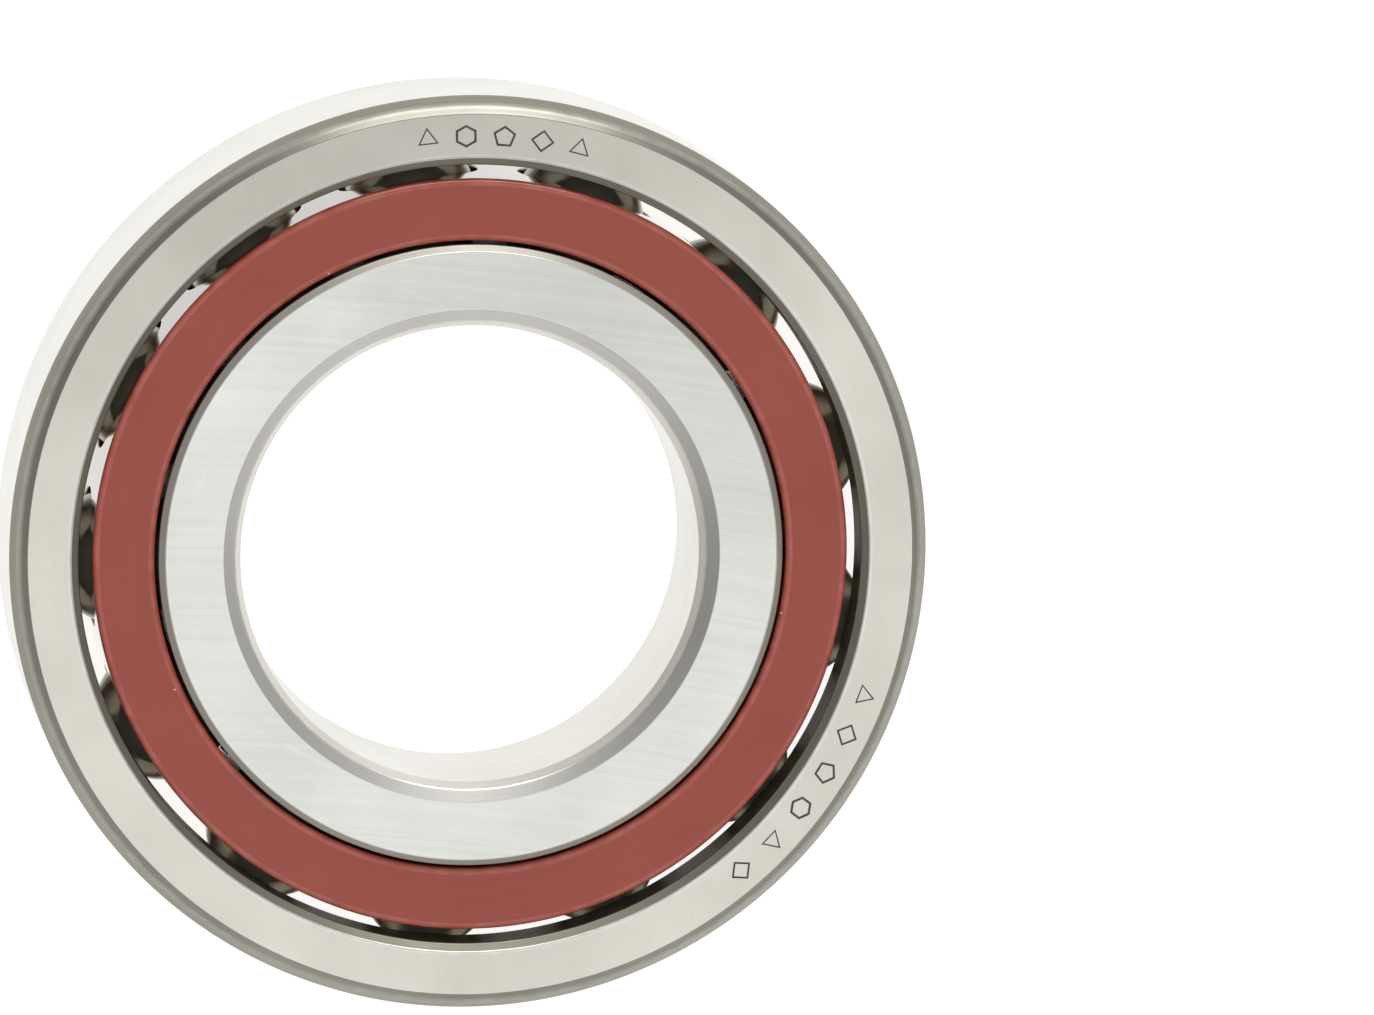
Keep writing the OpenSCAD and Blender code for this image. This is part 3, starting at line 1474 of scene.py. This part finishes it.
@dataclass(frozen=True)
class InnerRing:
    """Inner ring: a groove between two high shoulders.

    Attributes:
        sizes: Sizes shared with the other pieces.
        corner: How far the bore's corner reaches along the face.
        knee: How far the corner's knee lies from the face's edge, and how deep.
        shoulder_edge: Size of each shoulder's edge break along the face, and along the shoulder.
        knee_blend: Radius of the blends along the turned corner.
        edge_blend: Radius of the other edges.
        groove_steps: Pieces in the groove's arc.
    """

    sizes: BearingSizes
    corner: float = 1.62 * MM
    knee: tuple[float, float] = (1.1 * MM, 0.65 * MM)
    shoulder_edge: tuple[float, float] = (0.65 * MM, 0.45 * MM)
    knee_blend: float = 0.35 * MM
    edge_blend: float = 0.12 * MM
    groove_steps: int = 48

    # Rounding of the edge breaks, as a multiple of the other edges' blend.
    ROUND = 2

    def section(self) -> Section:
        """Draws the ring's section.

        Returns:
            The section, from the bore's lower corner outwards and round.
        """
        s = self.sizes
        centre, groove_r = s.groove_centre(1), s.groove_r
        reach = math.acos((s.inner_land_r - centre[0]) / groove_r)
        face_r = s.bore_r + self.corner
        knee_r, knee_z = face_r - self.knee[0], s.half_w - self.knee[1]
        edge_r, edge_z = s.inner_land_r - self.shoulder_edge[0], s.half_w - self.shoulder_edge[1]
        rise = groove_r * math.sin(reach)
        edge, knee = self.edge_blend, self.knee_blend
        rounded = self.ROUND * edge
        return Section(
            (
                Corner(face_r, -s.half_w, Zone.FACE, edge),
                Corner(edge_r, -s.half_w, Zone.SHOULDER, rounded),
                Corner(s.inner_land_r, -edge_z, Zone.WALL, rounded),
                Corner(s.inner_land_r, centre[1] - rise, Zone.HONED, edge),
                *groove_arc(centre, groove_r, -reach, reach - FULL_TURN, self.groove_steps),
                Corner(s.inner_land_r, centre[1] + rise, Zone.WALL, edge),
                Corner(s.inner_land_r, edge_z, Zone.SHOULDER, rounded),
                Corner(edge_r, s.half_w, Zone.FACE, rounded),
                Corner(face_r, s.half_w, Zone.TURNED, edge),
                Corner(knee_r, knee_z, Zone.TURNED, knee),
                Corner(s.bore_r, s.bore_seat, Zone.WALL, edge),
                Corner(s.bore_r, -s.bore_seat, Zone.TURNED, edge),
                Corner(knee_r, -knee_z, Zone.TURNED, knee),
            )
        )

    def build(self, lathe: Lathe) -> None:
        """Makes the ring.

        Args:
            lathe: What spins the section.
        """
        finishes = lathe.finishes
        dressed = (finishes.inner_face, finishes.turned, finishes.inner_shoulder)
        ring = lathe.spin("finished_inner_ring", self.section(), *dressed)
        place(ring, "inner_ring", "ring_steel", "inner_ring")


@dataclass(frozen=True)
class Cage:
    """Cage: a ring with a round pocket drilled through it for each ball.

    One sector with one pocket is drawn, and a geometry tree repeats it round the axis.

    Attributes:
        sizes: Sizes shared with the other pieces.
        guide_clearance: Gap between the cage's bore and the inner ring's shoulders.
        pocket_clearance: Gap between a ball and its pocket.
        edge_r: Radius of the four round edges.
        mouth: Size of the edge break round each pocket's mouths.
        along: Pieces along a sector's ends.
        up: Pieces along a sector's sides.
    """

    sizes: BearingSizes
    guide_clearance: float = 0.3 * MM
    pocket_clearance: float = 0.15 * MM
    edge_r: float = 0.5 * MM
    mouth: float = 0.18 * MM
    along: int = 16
    up: int = 20

    # Where the loops between a wall's boundary, 1, and its pocket, 0, lie.
    SHARES = (1.0, 0.97, 0.8, 0.6, 0.4, 0.2, 0.05)
    # Where the points of the cage's flat end lie, from its outer round edge, 0, to its inner one, 1.
    END_SHARES = (0.03, 0.25, 0.5, 0.75, 0.97)
    # Pieces in a mouth's edge break, in a pocket's wall and in a round edge.
    BREAK_STEPS = 4
    WALL_STEPS = 6
    ROUND_STEPS = 6
    # Distance within which neighbouring sectors' points are joined.
    WELD = 2 * MICRON

    @property
    def bore_r(self) -> float:
        """Radius of the cage's bore."""
        return self.sizes.inner_land_r + self.guide_clearance

    @property
    def pocket_r(self) -> float:
        """Radius of a pocket."""
        return self.sizes.ball_r + self.pocket_clearance

    @property
    def half_angle(self) -> float:
        """Half of a sector's angle, in radians."""
        return math.pi / len(self.sizes.balls)

    @property
    def straight_z(self) -> float:
        """Height at which the walls turn into the round edges."""
        return self.sizes.cage_half_w - self.edge_r

    def _rim(self) -> list[tuple[float, float]]:
        """Goes round a sector's boundary.

        Returns:
            Angles in radians and heights, counter-clockwise from outside, from the lower left corner.
        """
        a, z = self.half_angle, self.straight_z
        sides = (
            ((-a, -z), (a, -z), self.along),
            ((a, -z), (a, z), self.up),
            ((a, z), (-a, z), self.along),
            ((-a, z), (-a, -z), self.up),
        )
        return [
            (first[0] + (last[0] - first[0]) * k / steps, first[1] + (last[1] - first[1]) * k / steps)
            for first, last, steps in sides
            for k in range(steps)
        ]

    def _wall_loops(self, r: float, bearings: Sequence[float]) -> list[list[Vector]]:
        """Draws one wall of a sector from its boundary to its pocket.

        Args:
            r: Radius of the wall.
            bearings: Direction of each boundary point, seen from the pocket's centre.

        Returns:
            One loop of points for each step from the boundary to the pocket's edge break.
        """
        hole_r = self.pocket_r + self.mouth
        loops = []
        for share in (*self.SHARES, 0.0):
            loop = []
            for (turn, height), bearing in zip(self._rim(), bearings):
                hole_turn = math.asin(hole_r * math.cos(bearing) / r)
                angle = hole_turn + (turn - hole_turn) * share
                z = hole_r * math.sin(bearing) * (1 - share) + height * share
                loop.append(around(r, angle, z))
            loops.append(loop)
        return loops

    def _pocket_x(self, r: float, bearing: float) -> float:
        """How far out the pocket's wall meets a wall of radius r, in that direction."""
        y = self.pocket_r * math.cos(bearing)
        return math.sqrt(r * r - y * y)

    def _mouth_loops(
        self, r: float, side: int, last: Sequence[Vector], bearings: Sequence[float]
    ) -> list[list[Vector]]:
        """Rounds a pocket's mouth off.

        Args:
            r: Radius of the wall that the mouth is in.
            side: 1 for the outside, -1 for the bore.
            last: The wall's loop next to the mouth.
            bearings: Direction of each point, seen from the pocket's centre.

        Returns:
            The loops from the wall into the pocket, without the wall's own.
        """
        loops = []
        for k in range(1, self.BREAK_STEPS + 1):
            t = k / self.BREAK_STEPS
            loop = []
            for start, bearing in zip(last, bearings):
                x = self._pocket_x(r, bearing)
                y, z = self.pocket_r * math.cos(bearing), self.pocket_r * math.sin(bearing)
                corner, end = Vector((x, y, z)), Vector((x - side * self.mouth, y, z))
                loop.append(start.lerp(corner, t).lerp(corner.lerp(end, t), t))
            loops.append(loop)
        return loops

    def _loops(self) -> tuple[list[list[Vector]], list[float]]:
        """Draws a sector's walls and its pocket.

        Returns:
            The loops from the outside, through the pocket, to the bore, and how much each is an edge.
        """
        middle_r = (self.sizes.cage_r + self.bore_r) / 2
        bearings = [math.atan2(z, middle_r * turn) for turn, z in self._rim()]
        outside = self._wall_loops(self.sizes.cage_r, bearings)
        inside = self._wall_loops(self.bore_r, bearings)
        outer_mouth = self._mouth_loops(self.sizes.cage_r, 1, outside[-1], bearings)
        inner_mouth = self._mouth_loops(self.bore_r, -1, inside[-1], bearings)
        shares = [k / self.WALL_STEPS for k in range(1, self.WALL_STEPS)]
        wall = [[a.lerp(b, t) for a, b in zip(outer_mouth[-1], inner_mouth[-1])] for t in shares]
        loops = outside + outer_mouth + wall + inner_mouth[::-1] + inside[::-1]
        edges = [0.0] * len(outside) + [1.0] * len(outer_mouth) + [0.0] * len(wall)
        return loops, edges + [1.0] * len(inner_mouth) + [0.0] * len(inside)

    def _end_profile(self) -> list[tuple[float, float, float]]:
        """Draws the section of an end of the cage.

        Returns:
            Radius, height and edge of each point, from the outside over the end to the bore.
        """
        turns = [math.pi / 2 * k / self.ROUND_STEPS for k in range(self.ROUND_STEPS + 1)]
        outer_r, inner_r = self.sizes.cage_r - self.edge_r, self.bore_r + self.edge_r
        e, z = self.edge_r, self.straight_z
        over = [(outer_r + e * math.cos(t), z + e * math.sin(t), 1.0) for t in turns]
        flat = [(outer_r + (inner_r - outer_r) * share, z + e, 0.0) for share in self.END_SHARES]
        return over + flat + [(inner_r - e * math.sin(t), z + e * math.cos(t), 1.0) for t in turns]

    def sector(self) -> bpy.types.Mesh:
        """Draws one sector, with its pocket towards +X.

        Returns:
            The sector's mesh, open towards its neighbours.
        """
        loops, loop_edges = self._loops()
        count = len(loops[0])
        points = [point for loop in loops for point in loop]
        edges = [edge for edge in loop_edges for _ in range(count)]
        faces = []
        for i in range(len(loops) - 1):
            for k in range(count):
                a, b = i * count + k, i * count + (k + 1) % count
                faces.append((a, b, b + count, a + count))
        profile = self._end_profile()
        turns = [self.half_angle * (2 * k / self.along - 1) for k in range(self.along + 1)]
        for sign in (1, -1):
            start, row = len(points), len(turns)
            points += [around(r, t, sign * z) for r, z, _ in profile for t in turns]
            edges += [edge for _, _, edge in profile for _ in turns]
            for m in range(len(profile) - 1):
                for k in range(self.along):
                    a, b = start + m * row + k, start + (m + 1) * row + k
                    quad = (a, a + 1, b + 1, b)
                    faces.append(quad if sign > 0 else quad[::-1])
        mesh = bpy.data.meshes.new("cage_sector")
        mesh.from_pydata(points, [], faces)
        mesh.attributes.new("edge", "FLOAT", "POINT").data.foreach_set("value", edges)
        return mesh

    @staticmethod
    def _tree() -> Tree:
        """Builds the tree that repeats a sector round the axis and welds the copies.

        Returns:
            The tree, with the number of sectors and the first one's direction as inputs.
        """
        tree = Tree.group(
            "Sectors round the axis",
            "GeometryNodeTree",
            {
                "Sector": ("NodeSocketGeometry",),
                "Count": ("NodeSocketInt", 13),
                "First": ("NodeSocketFloat", 0.0),
                "Weld": ("NodeSocketFloat", MICRON),
                "Finish": ("NodeSocketMaterial",),
            },
            {"Ring": "NodeSocketGeometry"},
        )
        ins = tree.source.outputs
        index = tree.first("GeometryNodeInputIndex")
        step = tree.math("DIVIDE", FULL_TURN, ins["Count"])
        turn = tree.math("ADD", ins["First"], tree.math("MULTIPLY", index, step))
        euler = tree.first("ShaderNodeCombineXYZ", {2: turn})
        rotation = tree.first("FunctionNodeEulerToRotation", {0: euler})
        centres = tree.first("GeometryNodePoints", {"Count": ins["Count"]})
        repeat = {"Points": centres, "Instance": ins["Sector"], "Rotation": rotation}
        copies = tree.first("GeometryNodeInstanceOnPoints", repeat)
        whole = tree.first("GeometryNodeRealizeInstances", {"Geometry": copies})
        welded = tree.first("GeometryNodeMergeByDistance", {"Geometry": whole, "Distance": ins["Weld"]})
        smooth = tree.first("GeometryNodeSetShadeSmooth", {"Geometry": welded})
        tree.put_out(tree.first("GeometryNodeSetMaterial", {"Geometry": smooth, "Material": ins["Finish"]}))
        return tree

    def build(self, finish: bpy.types.Material) -> None:
        """Makes the cage.

        Args:
            finish: Its material.
        """
        cage = grown(
            "finished_cage",
            self.sector(),
            self._tree(),
            Count=len(self.sizes.balls),
            First=self.sizes.first_ball,
            Weld=self.WELD,
            Finish=finish,
        )
        place(cage, "cage", "cage_resin", "cage")


@dataclass(frozen=True)
class BallRow:
    """The balls, each on its own body.

    Attributes:
        sizes: Sizes shared with the other pieces.
        fineness: How often the faces of an icosahedron are divided.
    """

    sizes: BearingSizes
    fineness: int = 6

    @staticmethod
    def _tree() -> Tree:
        """Builds the tree that makes one ball where its node has it.

        Returns:
            The tree, with the ball's radius and centre as inputs.
        """
        tree = Tree.group(
            "Ball",
            "GeometryNodeTree",
            {
                "Base": ("NodeSocketGeometry",),
                "Radius": ("NodeSocketFloat", 0.006),
                "Centre": ("NodeSocketVector", (0.0, 0.0, 0.0)),
                "Fineness": ("NodeSocketInt", 5),
                "Finish": ("NodeSocketMaterial",),
            },
            {"Ball": "NodeSocketGeometry"},
        )
        ins = tree.source.outputs
        sphere_sizes = {"Radius": ins["Radius"], "Subdivisions": ins["Fineness"]}
        sphere = tree.first("GeometryNodeMeshIcoSphere", sphere_sizes)
        moved = tree.first("GeometryNodeTransform", {"Geometry": sphere, "Translation": ins["Centre"]})
        smooth = tree.first("GeometryNodeSetShadeSmooth", {"Geometry": moved})
        whole = tree.first("GeometryNodeRealizeInstances", {"Geometry": smooth})
        tree.put_out(tree.first("GeometryNodeSetMaterial", {"Geometry": whole, "Material": ins["Finish"]}))
        return tree

    def build(self, finish: bpy.types.Material) -> None:
        """Makes every ball.

        Args:
            finish: Their material.
        """
        tree = self._tree()
        for name in self.sizes.balls:
            low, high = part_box(name)
            ball = grown(
                f"finished_{name}",
                bpy.data.meshes.new(name),
                tree,
                Radius=self.sizes.ball_r,
                Centre=tuple((low + high) / 2),
                Fineness=self.fineness,
                Finish=finish,
            )
            place(ball, name, "ball_steel", name)


# --------------------------------------------------------------------------------------------------- studio


@dataclass(frozen=True)
class Studio:
    """A pale lit table, a bright room and a long lens from above.

    Attributes:
        floor_z: Height of the table.
        floor_size: Side of the table.
        floor_grey: Colour of the table.
        floor_roughness: Roughness of the table.
        floor_glow: How much the table shines by itself.
        glow_colour: Colour of that glow.
        lens: Focal length in millimetres.
        tilt: Turns of the camera about X and then about Y.
        aim: The point that the camera looks at.
        distance: How far away from it the camera is.
        clip: The nearest and farthest that the camera sees.
        box_direction: Direction of the softbox behind the bearing.
        box_distance: How far away it is.
        box_size: Its width and height.
        box_power: Its power in watts.
        room_greys: Heights, from 0 straight below to 1 overhead, and how bright the room is at each.
        front_light: How much brighter the room is towards -Y.
        backdrop: What the camera sees past the table.
    """

    floor_z: float
    floor_size: float = 6.0
    floor_grey: Colour = (0.25, 0.25, 0.25, 1.0)
    floor_roughness: float = 0.9
    floor_glow: float = 0.95
    glow_colour: Colour = (1.0, 0.985, 0.955, 1.0)
    lens: float = 285.07
    tilt: tuple[float, float] = (-8.39, -7.70)
    aim: tuple[float, float, float] = (0.01866, 0.00433, 0.009)
    distance: float = 0.9438
    clip: tuple[float, float] = (0.01, 20.0)
    box_direction: tuple[float, float, float] = (0.08, 0.96, 0.28)
    box_distance: float = 1.2
    box_size: tuple[float, float] = (0.8, 0.5)
    box_power: float = 6.0
    room_greys: tuple[tuple[float, float], ...] = (
        (0.5, 0.95),
        (0.6, 0.78),
        (0.69, 0.42),
        (0.79, 0.32),
        (0.88, 0.85),
        (1.0, 1.0),
    )
    front_light: float = 0.3
    backdrop: Colour = (0.9, 0.9, 0.9, 1.0)

    def build(self) -> None:
        """Sets up the table, the lights, the room and the camera."""
        bpy.context.scene.view_settings.view_transform = "Standard"
        self._table()
        self._room()
        self._softbox()
        self._camera()

    def _table(self) -> None:
        """Makes the table, which glows a little like a sheet of opal glass."""
        half = self.floor_size / 2
        mesh = bpy.data.meshes.new("table")
        corners = [(-half, -half), (half, -half), (half, half), (-half, half)]
        mesh.from_pydata([(x, y, self.floor_z) for x, y in corners], [], [(0, 1, 2, 3)])
        table = added("table", mesh)
        surface = Surface("Table", self.floor_roughness, 0.0)
        surface.colour(self.floor_grey)
        surface.shader.inputs["Emission Color"].default_value = self.glow_colour
        surface.shader.inputs["Emission Strength"].default_value = self.floor_glow
        mesh.materials.append(surface.material)
        table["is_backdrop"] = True

    def _room(self) -> None:
        """Makes the room: bright overhead, and greyer low down where nothing is lit."""
        world = bpy.data.worlds.new("Room")
        bpy.context.scene.world = world
        world.use_nodes = True
        tree = Tree(world.node_tree)
        direction = tree.add("ShaderNodeTexCoord").outputs["Generated"]
        _, across, height = tree.add("ShaderNodeSeparateXYZ", {0: direction}).outputs
        ramp = tree.add("ShaderNodeValToRGB", {0: tree.remap(height, -1.0, 1.0, 0.0, 1.0)})
        elements = ramp.color_ramp.elements
        elements[0].position = self.room_greys[0][0]
        elements[1].position = self.room_greys[-1][0]
        for position, _ in self.room_greys[1:-1]:
            elements.new(position)
        for stop, (_, grey) in zip(elements, self.room_greys):
            stop.color = (grey, grey, grey, 1.0)
        frontwards = tree.math("MAXIMUM", tree.math("MULTIPLY", across, -1.0), 0.0)
        lit = tree.vector("ADD", ramp.outputs["Color"], tree.math("MULTIPLY", frontwards, self.front_light))
        seen = tree.add("ShaderNodeLightPath").outputs["Is Camera Ray"]
        colour = tree.blend(seen, lit, self.backdrop)
        tree.feed(tree.tree.nodes["Background"].inputs["Color"], colour)

    def _softbox(self) -> None:
        """Hangs the softbox that draws the bright streaks on the turned corners."""
        light = bpy.data.lights.new("softbox", "AREA")
        light.shape = "RECTANGLE"
        light.size, light.size_y = self.box_size
        light.energy = self.box_power
        lamp = added("softbox", light)
        towards = Vector(self.box_direction).normalized()
        lamp.location = towards * self.box_distance
        lamp.rotation_euler = towards.to_track_quat("Z", "Y").to_euler()

    def _camera(self) -> None:
        """Sets the camera up, with its long side level."""
        data = bpy.data.cameras.new("camera")
        data.lens = self.lens
        data.clip_start, data.clip_end = self.clip
        camera = added("camera", data)
        turn = Euler((math.radians(self.tilt[0]), math.radians(self.tilt[1]), 0.0), "ZYX")
        camera.rotation_mode = "ZYX"
        camera.rotation_euler = turn
        camera.location = Vector(self.aim) + turn.to_matrix() @ Vector((0.0, 0.0, self.distance))
        bpy.context.scene.camera = camera


def main() -> None:
    """Builds the bearing and its studio, piece by piece."""
    logging.basicConfig(level=logging.INFO, format="%(name)s: %(message)s")
    cad_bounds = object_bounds()
    sizes = BearingSizes.of_frame()
    finishes = Finishes()
    lathe = Lathe(finishes)
    Studio(floor_z=cad_bounds[0][2] - TABLE_GAP).build()
    OuterRing(sizes).build(lathe)
    InnerRing(sizes).build(lathe)
    Cage(sizes).build(finishes.resin)
    BallRow(sizes).build(finishes.ball)


if __name__ == "__main__":
    main()
